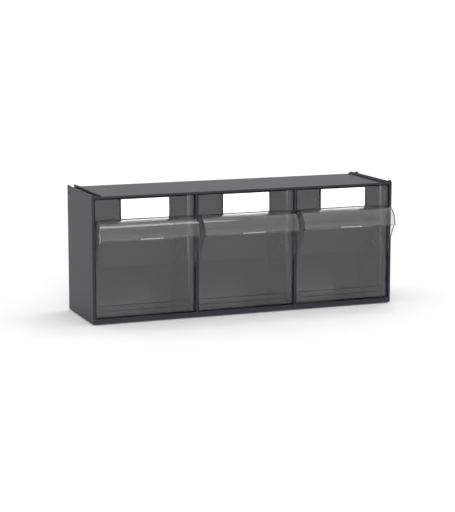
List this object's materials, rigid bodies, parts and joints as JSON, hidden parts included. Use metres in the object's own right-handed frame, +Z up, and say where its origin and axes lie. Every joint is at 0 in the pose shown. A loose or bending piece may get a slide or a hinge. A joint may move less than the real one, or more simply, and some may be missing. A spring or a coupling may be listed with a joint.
{
  "type": "tip-out parts cabinet",
  "caption": "Dark housing with clear bins side by side that tip forward on pivots at their bottom front edge, each with a rounded grip and a label card.",
  "frame": {"origin": "under the middle of the cabinet, grips included, on the surface it stands on", "axes": "+X to the right as seen from the front, +Y to the back, +Z up"},
  "size_m": [0.6, 0.197, 0.24],
  "materials": {
    "dark_plastic": "fine satin texture, dark grey",
    "clear_plastic": "clear and glossy",
    "white_card": "plain white, matt"
  },
  "bodies": {
    "housing": {"left_side_panel": "dark_plastic", "right_side_panel": "dark_plastic", "top_panel": "dark_plastic", "bottom_panel": "dark_plastic", "back_panel": "dark_plastic", "left_divider": "dark_plastic", "right_divider": "dark_plastic", "left_stacking_rail": "dark_plastic", "right_stacking_rail": "dark_plastic"},
    "left_bin": {"left_bin_tub": "clear_plastic", "left_bin_visor": "clear_plastic", "left_label_card": "white_card", "left_label_holder": "clear_plastic"},
    "middle_bin": {"middle_bin_tub": "clear_plastic", "middle_bin_visor": "clear_plastic", "middle_label_card": "white_card", "middle_label_holder": "clear_plastic"},
    "right_bin": {"right_bin_tub": "clear_plastic", "right_bin_visor": "clear_plastic", "right_label_card": "white_card", "right_label_holder": "clear_plastic"}
  },
  "joints": [
    {"name": "left_bin_tilt", "type": "hinge", "parent": "housing", "child": "left_bin", "pos_m": [-0.19867, -0.0465, 0.0175], "axis": [1, 0, 0], "range_deg": [0, 45]},
    {"name": "middle_bin_tilt", "type": "hinge", "parent": "housing", "child": "middle_bin", "pos_m": [0, -0.0465, 0.0175], "axis": [1, 0, 0], "range_deg": [0, 45]},
    {"name": "right_bin_tilt", "type": "hinge", "parent": "housing", "child": "right_bin", "pos_m": [0.19867, -0.0465, 0.0175], "axis": [1, 0, 0], "range_deg": [0, 45]}
  ]
}
